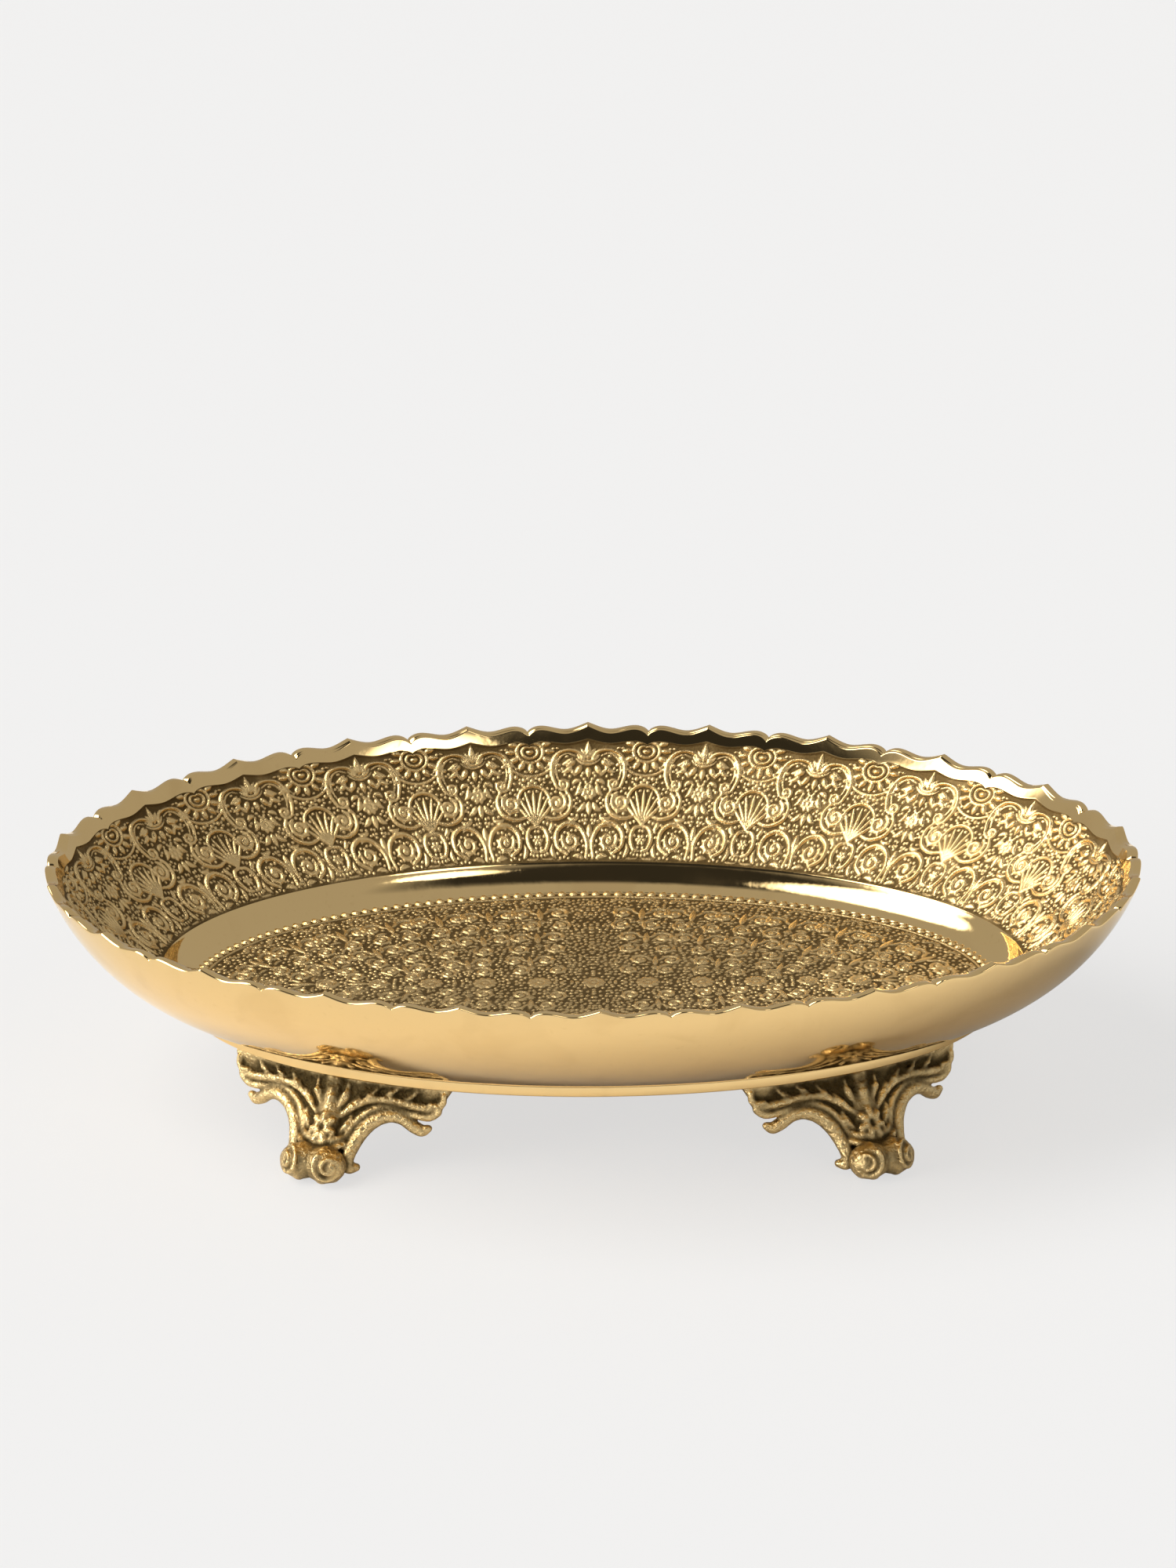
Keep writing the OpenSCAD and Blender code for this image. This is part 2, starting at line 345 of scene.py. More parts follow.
# %% The grid of heights
class Relief:
    """Heights in millimetres over a rectangle."""

    def __init__(self, low, high, pitch):
        self.low = np.array(low, float)
        self.pitch = pitch
        size = np.ceil((np.array(high) - self.low) / pitch).astype(int) + 1
        self.height = np.zeros((size[1], size[0]))

    def stamp(self, stamps):
        for small in (True, False):
            chosen = stamps[(stamps[:, 2] <= 0.8) == small]
            if len(chosen):
                self._stamp(chosen)

    def _stamp(self, stamps):
        place = (stamps[:, :2] - self.low) / self.pitch
        cell = np.round(place).astype(int)
        span = int(np.ceil(stamps[:, 2].max() / self.pitch))
        rows, columns = self.height.shape
        for dy in range(-span, span + 1):
            for dx in range(-span, span + 1):
                x, y = cell[:, 0] + dx, cell[:, 1] + dy
                far = np.hypot(x - place[:, 0], y - place[:, 1]) * self.pitch / stamps[:, 2]
                hit = (far < 1) & (x >= 0) & (y >= 0) & (x < columns) & (y < rows)
                dome = stamps[hit, 3] * np.sqrt(1 - far[hit] ** 2)
                np.maximum.at(self.height, (y[hit], x[hit]), dome)

    def read(self, x, y):
        grid = self.height
        rows, columns = grid.shape
        px = np.clip((x - self.low[0]) / self.pitch, 0, columns - 1.001)
        py = np.clip((y - self.low[1]) / self.pitch, 0, rows - 1.001)
        ix, iy = px.astype(int), py.astype(int)
        fx, fy = px - ix, py - iy
        top = grid[iy, ix] * (1 - fx) + grid[iy, ix + 1] * fx
        bottom = grid[iy + 1, ix] * (1 - fx) + grid[iy + 1, ix + 1] * fx
        return top * (1 - fy) + bottom * fy

    def fill_gaps(self, inside, clear, spacing, seed, copies):
        """Puts small seeds and commas wherever the ground is bare for the given distance."""
        chance = np.random.default_rng(seed)
        corner = self.low + self.pitch * np.array(self.height.shape[::-1])
        columns_at = np.arange(self.low[0], corner[0], spacing)
        rows_at = np.arange(self.low[1], corner[1], spacing)
        x, y = np.meshgrid(columns_at, rows_at)
        spots = np.column_stack([x.ravel(), y.ravel()])
        spots += chance.uniform(-0.35, 0.35, spots.shape) * spacing
        chance.shuffle(spots)
        rows, columns = self.height.shape
        reach_cells = int(clear / self.pitch)
        made = 0
        for spot in spots:
            cx, cy = np.round((spot - self.low) / self.pitch).astype(int)
            if not inside(*spot):
                continue
            near = self.height[
                max(0, cy - reach_cells):min(rows, cy + reach_cells + 1),
                max(0, cx - reach_cells):min(columns, cx + reach_cells + 1),
            ]
            if near.size == 0 or near.max() > 0.12:
                continue
            way = chance.uniform(0, 2 * math.pi)
            end = spot + clear * 1.15 * np.array([math.cos(way), math.sin(way)])
            begin = spot - clear * 0.8 * np.array([math.cos(way), math.sin(way)])
            self.stamp(copies(drop(begin, end, clear * 0.95, 0.5, 0.25)))
            made += 1
        return made


print("chasing tools ready")

# %% [markdown]
# ## The wall's pattern
# One half of a scallop, 20 mm wide and 50 mm deep, measured from the tip's line and down from the
# rim. Under the tip hang a bud and a fan between two winged scrolls, under the notch sits a shell,
# and below them come a ribbed palmette, round leafy scrolls and rosettes. MARGIN is the plain band
# under the rim. The whole drawing hangs lower by DRAWN_LOWER, to clear that band.

# %% Draw the wall's half scallop
HALF_CELL = 20.0
CELL_DEPTH = 50.0
MARGIN = 6.9
DRAWN_LOWER = 1.1


def wall_copies(stamps):
    """The drawn half and its mirror images about both of its edges."""
    left, right = stamps.copy(), stamps.copy()
    left[:, 0] = -left[:, 0]
    right[:, 0] = 2 * HALF_CELL - right[:, 0]
    return np.vstack([stamps, left, right])


def bud_and_fan():
    parts = [
        drop((0, 12.4), (0, 5.4), 1.15, 0.75), drop((1.0, 12.2), (2.9, 8.0), 0.7, 0.6, -0.1),
        stroke(arc((0, 9.6), 3.9, 20, 160), 0.5, 0.7), stroke(arc((0, 9.6), 5.0, 35, 145), 0.36, 0.6),
        petals(np.array([0.0, 10.2]), 5.8, 9.6, (90, 62, 34), 1.0, 0.8),
    ]
    return np.vstack(parts)


def wing():
    outer = [(1.6, 12.4), (3.4, 9.6), (6.8, 8.5), (10.2, 10.0), (12.4, 13.8), (12.8, 18.4), (11.6, 22.4)]
    inner = [(4.6, 11.2), (7.0, 10.2), (9.4, 11.4), (11.1, 14.4), (11.3, 18.0), (10.3, 21.0)]
    parts = [
        stroke(through(outer, 150), 0.78, 0.9, 0.3), stroke(through(inner, 120), 0.34, 0.5, 0.3),
        leafy_scroll((9.0, 21.9), 2.6, 1.5, 0, 1, 3, 0.45),
        drop((5.6, 12.4), (9.6, 14.6), 0.95, 0.6, 0.12), drop((6.0, 15.6), (9.8, 17.6), 0.9, 0.6, 0.12),
        drop((4.6, 18.8), (7.4, 16.4), 0.7, 0.5, -0.15), drop((12.9, 12.0), (15.0, 15.6), 0.6, 0.5, 0.15),
    ]
    return np.vstack(parts)


def shell():
    middle = np.array([HALF_CELL, 9.2])
    parts = [
        bead(middle, 1.2, 0.8), stroke(arc(middle, 2.7, 0, 360), 0.45, 0.7, 0),
        stroke(arc(middle, 4.5, 0, 360), 0.5, 0.7, 0),
        petals(middle, 5.3, 8.6, np.arange(0, 360, 30), 1.05, 0.8),
        stroke(arc(middle, 9.6, 20, 160), 0.45, 0.6, 0),
    ]
    for angle in np.radians(np.arange(30, 151, 15)):
        parts.append(bead(middle + 11.2 * np.array([math.cos(angle), math.sin(angle)]), 0.75, 0.6))
    return np.vstack(parts)


def palmette():
    foot = np.array([HALF_CELL, 36.5])
    parts = [stroke(arc((HALF_CELL, 28.2), 5.9, 175, 365), 0.62, 0.8, 0.2)]
    for angle in np.radians((0, 14, 28, 42)):
        tip = foot + np.array([-math.sin(angle), -math.cos(angle)]) * (12.4 - 3.2 * angle ** 2)
        parts.append(stroke(np.linspace(foot, tip, 60), 0.55, 0.75, 0.5))
    for angle in np.radians(np.arange(185, 360, 19)):
        parts.append(bead((HALF_CELL + 7.1 * math.cos(angle), 28.2 + 7.1 * math.sin(angle)), 0.55, 0.5))
    return np.vstack(parts)


def middle_scrolls():
    parts = [
        leafy_scroll((11.6, 28.6), 3.8, 1.5, 250, -1, 5, 0.7),
        stroke(through([(8.6, 23.6), (6.6, 27.4), (7.8, 32.0), (12.4, 34.2), (17.2, 33.2)], 90), 0.75, 0.85),
        rosette((0, 25.0), 2.9, 8, 22.5), drop((3.2, 22.4), (5.4, 26.2), 1.0, 0.65, 0.2),
        drop((0, 28.6), (0, 33.4), 1.1, 0.7), drop((1.6, 28.8), (5.0, 31.8), 1.0, 0.6, 0.15),
        drop((3.0, 20.6), (5.8, 22.6), 0.8, 0.55, -0.2), drop((4.2, 34.0), (8.4, 33.4), 0.8, 0.6, 0.2),
    ]
    return np.vstack(parts)


def lower_scrolls():
    big = [(1.4, 47.2), (1.0, 42.4), (3.4, 37.6), (8.2, 35.8), (12.4, 38.6), (12.6, 43.4), (9.0, 46.2)]
    stem = [(20, 36.8), (17.2, 37.6), (16.0, 41.0), (17.2, 44.4), (19.4, 45.2)]
    parts = [
        stroke(through(big, 150), 0.85, 0.9, 0.3), leafy_scroll((7.2, 41.8), 3.7, 1.3, 330, 1, 6, 0.7),
        stroke(through(stem, 80), 0.75, 0.8), rosette((HALF_CELL, 41.4), 2.0, 6),
        drop((4.4, 36.6), (8.6, 38.0), 0.9, 0.6, -0.25), drop((14.0, 35.6), (16.0, 38.2), 0.9, 0.6, 0.2),
        drop((0, 36.6), (0, 43.4), 1.1, 0.7), drop((13.6, 47.2), (14.2, 42.4), 0.9, 0.6, 0.2),
        drop((2.6, 47.6), (7.6, 47.4), 0.8, 0.5, -0.15), drop((15.0, 47.6), (19.6, 47.0), 0.8, 0.5, 0.2),
    ]
    return np.vstack(parts)


wall_relief = Relief((-0.5, 0), (HALF_CELL + 0.5, CELL_DEPTH), 0.12)
wall_drawing = np.vstack([bud_and_fan(), wing(), shell(), palmette(), middle_scrolls(), lower_scrolls()])
wall_relief.stamp(wall_copies(wall_drawing))
fillers = wall_relief.fill_gaps(
    lambda x, y: -0.2 < x < HALF_CELL + 0.2 and MARGIN + 0.6 < y < CELL_DEPTH - 0.9, 0.5, 0.95, 4, wall_copies
)
print("wall stamps:", len(wall_drawing), "fillers:", fillers)

# %% [markdown]
# ## The floor's pattern
# The floor is worked in oval bands. A row of beads and a plain line run round its edge, then comes
# a band of little shells. Inside it, bands of buds between leafy scrolls take turns with bands of
# single scrolls, and rosettes run along the middle.
# Only the quarter with positive x and y is drawn, and it is mirrored into the others.

# %% Draw the floor's quarter
FLOOR_HALF = 134.0
BEAD_RING = 1.3
BEADS = 180
BEAD_PITCH = 3.7
BEAD_RADIUS = 1.35
LINE_RING = 3.3
FLOOR_PATTERN = 4.3


def quarter_copies(stamps):
    parts = []
    for sx, sy in ((1, 1), (-1, 1), (1, -1), (-1, -1)):
        turned = stamps.copy()
        turned[:, 0] *= sx
        turned[:, 1] *= sy
        near = (turned[:, 0] > -4) & (turned[:, 1] > -4)
        parts.append(turned[near])
    return np.vstack(parts)


def band_places(half, count):
    """Points in the first quarter that divide an oval into equal parts, with the way out at each."""
    angles = equal_steps(half, 4 * count)[3 * count:] if count else []
    for angle in angles:
        x, y = oval(half, angle)
        out = np.array([(half - SIDE_INSET) * math.cos(angle), half * math.sin(angle)])
        yield np.array([x, y]), out / np.linalg.norm(out)


def turned_to(stamps, place, out):
    """Moves a motif drawn about the origin, with its top along +y, so that its top points out."""
    moved = stamps.copy()
    across = np.array([out[1], -out[0]])
    moved[:, :2] = place + stamps[:, :1] * across + stamps[:, 1:2] * out
    return moved


def both_sides(stamps):
    other = stamps.copy()
    other[:, 0] = -other[:, 0]
    return np.vstack([stamps, other])


def bud_pair(size):
    """A bud between two leafy scrolls, about the origin."""
    parts = [
        drop((0, -size), (0, size * 0.9), size * 0.22, 0.6),
        drop((size * 0.15, -size * 0.2), (size * 0.55, size * 0.6), size * 0.12, 0.5, -0.15),
        leafy_scroll((size * 1.15, -size * 0.1), size * 0.78, 1.4, 160, -1, 6, 0.62),
        drop((size * 0.4, -size), (size * 1.3, -size * 1.15), size * 0.12, 0.5, 0.2),
        rosette((0, -size * 1.35), size * 0.3, 6),
    ]
    return both_sides(np.vstack(parts))


def fan(size):
    """A little shell of drops over an arch."""
    parts = [stroke(arc((0, 0), size * 0.45, 0, 180), 0.32, 0.5, 0.2), bead((0, 0), size * 0.18)]
    parts.append(petals(np.array([0.0, 0.0]), size * 0.55, size, np.arange(0, 181, 30), size * 0.15))
    return np.vstack(parts)


def tile_band(relief, motif, inset, count):
    for place, out in band_places(FLOOR_HALF - inset, count):
        relief.stamp(quarter_copies(turned_to(motif, place, out)))


floor_relief = Relief((-1, -1), (FLOOR_HALF + 1, FLOOR_HALF - SIDE_INSET + 1), 0.15)
for inset, count, motif in (
    (7.6, 15, fan(4.0)), (16.4, 8, bud_pair(5.6)), (27.0, 12, leafy_scroll((0, 0), 3.9, 1.5, 90, 1)),
    (36.0, 6, bud_pair(5.2)), (45.6, 8, leafy_scroll((0, 0), 3.9, 1.5, 60, -1)), (54.6, 4, bud_pair(4.6)),
    (63.0, 6, leafy_scroll((0, 0), 3.4, 1.4, 90, 1)),
):
    tile_band(floor_relief, motif, inset, count)
for place_x in (0, 18, 36, 54):
    floor_relief.stamp(quarter_copies(rosette((place_x, 0), 4.2, 10)))


def on_floor(x, y):
    half_length, half_width = FLOOR_HALF - FLOOR_PATTERN - 0.8, FLOOR_HALF - SIDE_INSET - FLOOR_PATTERN - 0.8
    return x > -0.5 and y > -0.5 and (x / half_length) ** 2 + (y / half_width) ** 2 < 1


fillers = floor_relief.fill_gaps(on_floor, 0.62, 1.05, 9, quarter_copies)
print("floor drawn, fillers:", fillers)

# %% [markdown]
# ## The bowl
# The bowl is a lathe form with an oval in place of the circle: one closed chain of rings that runs
# from the middle of the underside out to the foot of the wall, up the outside, over the rim, down
# the inside, across the cove and to the middle of the floor. The relief then pushes each point out
# along the surface. Near the rim the scallops slide each ring down along the wall's own surface, so
# that the outside stays smooth. Rings near the middle get half as many points, which keeps the mesh
# even.

# %% The section of the wall
RIM_Z = tray_high[2]
RING_TOP = ring_high[2]
RIM_THICK = 3.0
WALL_RADIUS = 75.0
WALL_FOOT = np.array([135.0, RING_TOP + 0.8])
LEDGE = np.array([143.0, RIM_Z - 38.0])
FLOOR_Z = RING_TOP + 2.5
INNER_BOW = 3.2

wall_top = np.array([RIM_HALF, RIM_Z])
chord = wall_top - WALL_FOOT
chord_length = np.linalg.norm(chord)
chord_across = np.array([-chord[1], chord[0]]) / chord_length
to_centre = math.sqrt(WALL_RADIUS ** 2 - (chord_length / 2) ** 2)
wall_centre = (WALL_FOOT + wall_top) / 2 + chord_across * to_centre


def outer_half(z):
    return wall_centre[0] + np.sqrt(WALL_RADIUS ** 2 - (z - wall_centre[1]) ** 2)


def edge_shift(drop):
    """How far the rim's edge moves in where the scallops cut it lower by drop."""
    return outer_half(RIM_Z) - outer_half(RIM_Z - drop)


def inner_half(z):
    share = (z - LEDGE[1]) / (RIM_Z - LEDGE[1])
    return LEDGE[0] + (RIM_HALF - RIM_THICK - LEDGE[0]) * share + 4 * INNER_BOW * share * (1 - share)


# %% The rings of the bowl
POLISHED, CHASED, UNDER = 0, 1, 2


class Row:
    """A ring of the bowl: half length, height, how strongly the scallops show, and its finish.

    wall gives the half length for any height, so that the scallops slide a ring along the wall.
    """

    def __init__(self, half, z, ripple=0.0, finish=POLISHED, down=None, wall=None):
        self.half, self.z, self.ripple = half, z, ripple
        self.finish, self.down, self.wall = finish, down, wall


def ripple_at(z):
    return float(smooth((z - (RIM_Z - RIPPLE_HEIGHT)) / RIPPLE_HEIGHT))


under_rows = [Row(half, RING_TOP, finish=UNDER) for half in np.linspace(SIDE_INSET + 0.4, 132.4, 30)]
under_rows += [Row(133.0, RING_TOP, finish=UNDER), Row(133.2, RING_TOP + 0.35, finish=UNDER)]
outer_rows = [Row(134.4, WALL_FOOT[1] - 0.25), Row(134.8, WALL_FOOT[1])]
for z in np.linspace(WALL_FOOT[1] + 0.3, RIM_Z - 0.8, 60):
    outer_rows.append(Row(float(outer_half(z)), z, ripple_at(z), wall=outer_half))
edge_turn = 0.8
rim_rows = []
for angle in np.radians((20, 45, 70)):
    inward, lower = edge_turn * (1 - math.cos(angle)), edge_turn * (1 - math.sin(angle))
    rim_rows.append(Row(RIM_HALF - inward, RIM_Z - lower, 1.0))
for share in np.linspace(0.3, 0.7, 4):
    rim_rows.append(Row(RIM_HALF - RIM_THICK * share, RIM_Z, 1.0))
for angle in np.radians((70, 45, 20)):
    inward, lower = edge_turn * (1 - math.cos(angle)), edge_turn * (1 - math.sin(angle))
    rim_rows.append(Row(RIM_HALF - RIM_THICK + inward, RIM_Z - lower, 1.0))
WALL_ROWS = 128
inner_rows = []
for share in np.linspace(0.016, 1, WALL_ROWS):
    z = RIM_Z + (LEDGE[1] - RIM_Z) * share
    finish = CHASED if share * CELL_DEPTH > MARGIN - 1.2 else POLISHED
    inner_rows.append(Row(float(inner_half(z)), z, ripple_at(z), finish, share * CELL_DEPTH, inner_half))
cove_rows = []
COVE_SAG = 1.3
for share in np.linspace(0, 1, 16)[1:]:
    middle = LEDGE + (np.array([FLOOR_HALF, FLOOR_Z]) - LEDGE) * share
    sag = 4 * COVE_SAG * share * (1 - share)
    cove_rows.append(Row(middle[0] + sag * 0.65, middle[1] - sag * 0.75))
floor_halves = np.arange(FLOOR_HALF - 0.3, SIDE_INSET + 0.2, -0.42)
floor_rows = [Row(half, FLOOR_Z, finish=CHASED) for half in floor_halves]
rows = under_rows + outer_rows + rim_rows + inner_rows + cove_rows + floor_rows
print("rings:", len(rows))

# %% Points of the rings, with the relief
HALF_DENSITY_BELOW = 100.0


def thinned(row):
    """2 where a ring is short enough to need only every second point, or else 1."""
    return 2 if row.half < HALF_DENSITY_BELOW else 1


def bead_row(half_under, angle_index):
    """Height of the row of beads and of the plain line, from how far in from the floor's edge."""
    inset = FLOOR_HALF - half_under
    along = (np.arange(AROUND)[angle_index] / AROUND * BEADS) % 1 - 0.5
    from_middle = np.hypot(along * BEAD_PITCH, inset - BEAD_RING) / BEAD_RADIUS
    dome = 1.0 * np.sqrt(np.clip(1 - from_middle ** 2, 0, 1))
    line = 0.5 * np.sqrt(np.clip(1 - ((inset - LINE_RING) / 0.45) ** 2, 0, 1))
    return np.maximum(dome, line)


def pattern_shows(down):
    """From 0 on the plain bands above and below the wall's pattern to 1 within it."""
    return smooth((down - MARGIN + 0.9) / 0.9) * smooth((CELL_DEPTH - 0.6 - down) / 0.5)


def hammered(x, y):
    """A faint unevenness, in millimetres, so that a worked surface isn't perfectly true."""
    return 0.5 * np.sin(x * 0.9 + 1.7 * np.sin(y * 0.53)) * np.sin(y * 0.8 + 1.3 * np.sin(x * 0.47))


positions, raised, ring_index = [], [], []
total = 0
for row in rows:
    step = thinned(row)
    pick = np.arange(0, AROUND, step)
    lag = 1 - reach[pick]
    z = row.z - SCALLOP_RISE * row.ripple * lag
    half = row.wall(z) if row.wall else row.half - row.ripple * edge_shift(RIM_Z - z)
    x, y = oval(half, around[pick])
    lift = np.zeros(len(pick))
    if row.down is not None and row.finish == CHASED:
        across = np.abs(place_in_scallop[pick]) * 2 * HALF_CELL
        lift = wall_relief.read(across, np.full(len(pick), row.down - DRAWN_LOWER))
        lift = lift * pattern_shows(row.down) * (1 + 0.12 * hammered(x, y))
    elif row.finish == CHASED:
        lift = floor_relief.read(np.abs(x), np.abs(y)) * smooth((FLOOR_HALF - FLOOR_PATTERN - row.half) / 0.5)
        lift = np.maximum(lift * (0.9 + 0.12 * hammered(x, y)), bead_row(row.half, pick))
    positions.append(np.column_stack([x, y, np.broadcast_to(z, x.shape)]))
    raised.append(lift)
    ring_index.append(total + np.arange(len(pick)))
    total += len(pick)
print("points of the bowl:", total)


# %% Push the relief out along the surface
def full_ring(values, count):
    return values if len(values) == count else np.repeat(values, count // len(values), axis=0)


def surface_normals(before, here, after):
    """Unit normals of a ring, from its neighbours on both sides."""
    down = after - before
    along = np.roll(here, -1, axis=0) - np.roll(here, 1, axis=0)
    normal = np.cross(along, down)
    return normal / np.maximum(np.linalg.norm(normal, axis=1), 1e-9)[:, None]


GROUND_DEPTH = 0.4
moved = []
for n, row in enumerate(rows):
    here = positions[n]
    if row.finish == CHASED:
        before = positions[max(0, n - 1)]
        after = positions[min(len(rows) - 1, n + 1)]
        step = len(before) // len(here)
        before = before[::step] if step > 1 else before
        after = full_ring(after, len(here))
        normal = surface_normals(before, here, after)
        normal *= np.where(normal[:, 2:3] < 0, -1, 1)
        sink = GROUND_DEPTH
        if row.down is not None:
            sink *= float(pattern_shows(row.down))
        here = here + normal * (raised[n] - sink)[:, None]
    moved.append(here)
bowl_points = np.vstack(moved) * MM
bowl_raised = np.concatenate(raised)


# %% Faces between the rings
def ring_faces(first, second):
    """Faces between two rings of the same count, or between one and its thinned neighbour."""
    if len(first) == len(second):
        a, b = first, np.roll(first, -1)
        c, d = np.roll(second, -1), second
        return np.column_stack([a, b, c, d]), np.zeros((0, 3), int)
    dense, sparse, flip = (first, second, False) if len(first) > len(second) else (second, first, True)
    left, middle, right = dense[::2], dense[1::2], np.roll(dense[::2], -1)
    near, far = sparse, np.roll(sparse, -1)
    triangles = np.vstack([
        np.column_stack([left, middle, near]), np.column_stack([middle, far, near]),
        np.column_stack([middle, right, far]),
    ])
    return np.zeros((0, 4), int), triangles[:, ::-1] if flip else triangles


def mesh_from(name, points, quads, triangles, quad_finish, triangle_finish):
    """A mesh from arrays, which is much faster than from lists of faces."""
    mesh = bpy.data.meshes.new(name)
    mesh.vertices.add(len(points))
    mesh.vertices.foreach_set("co", points.astype(np.float32).ravel())
    mesh.loops.add(quads.size + triangles.size)
    corners = np.concatenate([quads.ravel(), triangles.ravel()])
    mesh.loops.foreach_set("vertex_index", corners.astype(np.int32))
    mesh.polygons.add(len(quads) + len(triangles))
    starts = np.concatenate([
        np.arange(len(quads)) * 4, len(quads) * 4 + np.arange(len(triangles)) * 3,
    ])
    mesh.polygons.foreach_set("loop_start", starts.astype(np.int32))
    finishes = np.concatenate([quad_finish, triangle_finish])
    mesh.polygons.foreach_set("material_index", finishes.astype(np.int32))
    mesh.update(calc_edges=True)
    mesh.validate()
    mesh.shade_smooth()
    return mesh


quads, triangles, quad_finish, triangle_finish = [], [], [], []
for n in range(len(rows) - 1):
    four, three = ring_faces(ring_index[n], ring_index[n + 1])
    finish = rows[n].finish if rows[n].finish == rows[n + 1].finish else POLISHED
    quads.append(four)
    triangles.append(three)
    quad_finish.append(np.full(len(four), finish))
    triangle_finish.append(np.full(len(three), finish))


def seam_faces(ring):
    """Closes a flattened ring along its middle line."""
    half = len(ring) // 2
    shifted = np.roll(ring, -(half // 2))
    upper, lower = shifted[:half + 1], np.roll(shifted[::-1], 1)[:half + 1]
    return np.column_stack([upper[:-1], upper[1:], lower[1:], lower[:-1]])


for ring, flip in ((ring_index[0], True), (ring_index[-1], False)):
    four = seam_faces(ring)
    quads.append(four[:, ::-1] if flip else four)
    quad_finish.append(np.full(len(four), UNDER if flip else CHASED))
bowl_mesh = mesh_from(
    "bowl", bowl_points, np.vstack(quads), np.vstack(triangles),
    np.concatenate(quad_finish), np.concatenate(triangle_finish),
)
height = bowl_mesh.attributes.new("raised", "FLOAT", "POINT")
height.data.foreach_set("value", bowl_raised.astype(np.float32))
bowl = bpy.data.objects.new("bowl", bowl_mesh)
bpy.context.scene.collection.objects.link(bowl)
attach(bowl, "root")
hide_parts("tray_body")
print("bowl faces:", len(bowl_mesh.polygons))

# %% [markdown]
# ## The base ring
# A flat oval ring is brazed under the floor, and the feet are screwed to it. It could be an oval
# with a flat bevel, but its edges are rounded by buffing and catch a thin line of light, so it gets
# a section with four quarter rounds, and enough points round it to stay smooth in a mirror finish.

# %% Build the base ring
RING_HALF = 134.0
RING_WIDTH = 24.0
RING_FOOT = ring_low[2]
EDGE_ROUND = 0.55


def ring_section():
    """Corners of the ring's section, each rounded with five points: half length and height."""
    corners = (
        (RING_HALF, RING_TOP, 1, 1), (RING_HALF - RING_WIDTH, RING_TOP, -1, 1),
        (RING_HALF - RING_WIDTH, RING_FOOT, -1, -1), (RING_HALF, RING_FOOT, 1, -1),
    )
    starts = (0, 90, 180, 270)
    for (half, z, out, up), start in zip(corners, starts):
        for angle in np.radians(start + np.linspace(0, 90, 5)):
            middle = np.array([half - out * EDGE_ROUND, z - up * EDGE_ROUND])
            yield middle + EDGE_ROUND * np.array([math.cos(angle), math.sin(angle)])


ring_around = equal_steps(RING_HALF, 900)
section = list(ring_section())
ring_points, ring_quads = [], []
for half, z in section:
    x, y = oval(half, ring_around)
    ring_points.append(np.column_stack([x, y, np.full(len(x), z)]))
for n in range(len(section)):
    first = n * len(ring_around) + np.arange(len(ring_around))
    second = (n + 1) % len(section) * len(ring_around) + np.arange(len(ring_around))
    ring_quads.append(ring_faces(first, second)[0])
ring_quads = np.vstack(ring_quads)[:, ::-1]
plain = np.zeros(len(ring_quads), int)
no_triangles, no_finish = np.zeros((0, 3), int), np.zeros(0, int)
base_ring_mesh = mesh_from(
    "ring_under_floor", np.vstack(ring_points) * MM, ring_quads, no_triangles, plain, no_finish
)
base_ring = bpy.data.objects.new("ring_under_floor", base_ring_mesh)
bpy.context.scene.collection.objects.link(base_ring)
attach(base_ring, "root")
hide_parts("base_ring")
print("ring faces:", len(base_ring_mesh.polygons))

# %% [markdown]
# ## The scroll feet
# Each foot is a sand casting: a plate that follows the ring's edge, a leg that swells outward into
# a toe of two rolls, a long C scroll on each side, leaves above them and a flower on the front. The
# foot is modelled as a heap of rods and balls, as a wax carver would lay it up, and then fused into
# one skin, because casting leaves no seam between a scroll and the plate behind it.
#
# The foot is drawn in a frame of its own: u runs along the ring, v points out, and depth is measured
# down from the ring. One foot is made, and the other three are its mirror images.

# %% The foot's frame and its front surface
FOOT_TOP = ring_low[2]
RING_CURVE = 148.0
TOE_REACH = 17.0
TOE_DEPTH = 24.0
LEG_SPREAD = 15.0
PLATE_THICK = 3.4


def front_of_plate(u, depth):
    """How far out the plate's front stands. It follows the ring, and swells out towards the toe."""
    swell = TOE_REACH * (np.clip(depth, 0, TOE_DEPTH + 4) / TOE_DEPTH) ** 1.5
    return -u ** 2 / (2 * RING_CURVE) - 0.6 + swell * np.exp(-(u / LEG_SPREAD) ** 2)


def on_plate(curve, lift=0.0):
    """Lays a drawing of u and depth on the plate's front."""
    curve = np.array(curve, float)
    u, depth = curve[:, 0], curve[:, 1]
    return np.column_stack([u, front_of_plate(u, depth) + lift, FOOT_TOP - depth])


